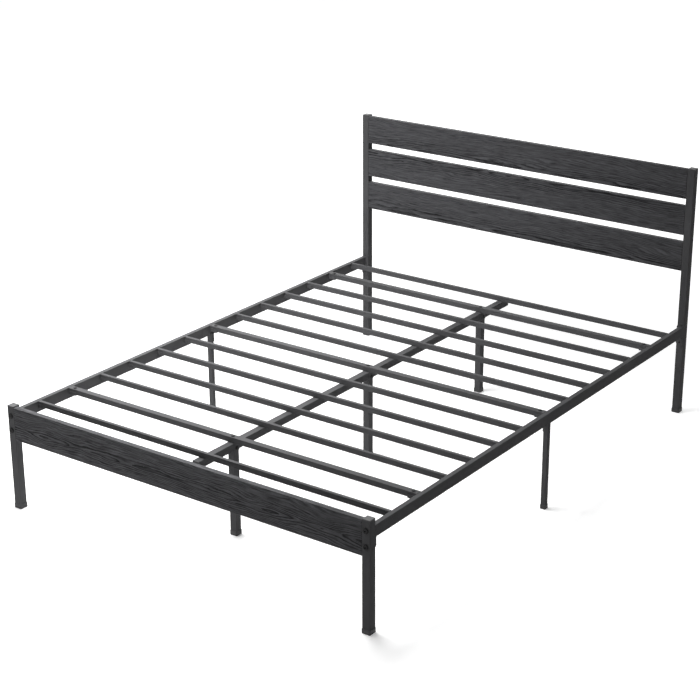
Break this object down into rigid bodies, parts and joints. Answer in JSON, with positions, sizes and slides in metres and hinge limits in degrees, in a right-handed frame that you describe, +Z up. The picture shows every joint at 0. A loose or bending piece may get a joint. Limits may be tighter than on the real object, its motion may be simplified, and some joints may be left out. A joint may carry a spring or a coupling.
{
  "type": "bed frame",
  "caption": "Bed frame of dark powder-coated steel tube with slats, legs under the rails, a wood-look plank headboard and a low wood-look footboard.",
  "frame": {"origin": "on the floor, under the middle of the bed", "axes": "+Y along the bed to the headboard, +X to the right as seen from the foot, +Z up"},
  "size_m": [1.4028, 1.9686, 0.908],
  "materials": {
    "frame": "satin powder coat",
    "board": "black oak grain, matt",
    "plastic": "matt moulded",
    "hardware": "black coated"
  },
  "bodies": {
    "root": {"centre_leg_feet": "plastic", "centre_leg_foot": "frame", "centre_leg_head": "frame", "centre_leg_middle": "frame", "centre_rail_foot": "frame", "centre_rail_head": "frame", "centre_rail_plugs": "plastic", "corner_feet": "plastic", "cross_bar_centre_bolts": "hardware", "cross_bar_end_bolts": "hardware", "cross_bar_end_nuts": "hardware", "cross_bar_foot": "frame", "cross_bar_head": "frame", "cross_bar_middle": "frame", "cross_bar_plugs": "plastic", "foot_leg_caps": "plastic", "foot_leg_left": "frame", "foot_leg_right": "frame", "foot_rail_bolts": "hardware", "footboard_plank": "board", "footboard_screws": "hardware", "fork_bolts": "hardware", "fork_nuts": "hardware", "head_rail_bolts": "hardware", "headboard_plank_1": "board", "headboard_plank_2": "board", "headboard_plank_3": "board", "headboard_post_caps": "plastic", "headboard_post_left": "frame", "headboard_post_right": "frame", "headboard_screws": "hardware", "mid_leg_bolts": "hardware", "mid_leg_feet": "plastic", "mid_leg_left": "frame", "mid_leg_right": "frame", "seam_bolts": "hardware", "side_rail_left_foot": "frame", "side_rail_left_head": "frame", "side_rail_right_foot": "frame", "side_rail_right_head": "frame", "slat_01": "frame", "slat_02": "frame", "slat_03": "frame", "slat_04": "frame", "slat_05": "frame", "slat_06": "frame", "slat_07": "frame", "slat_08": "frame", "slat_09": "frame", "slat_10": "frame", "slat_plugs": "plastic", "weld_nuts": "hardware"}
  },
  "joints": []
}
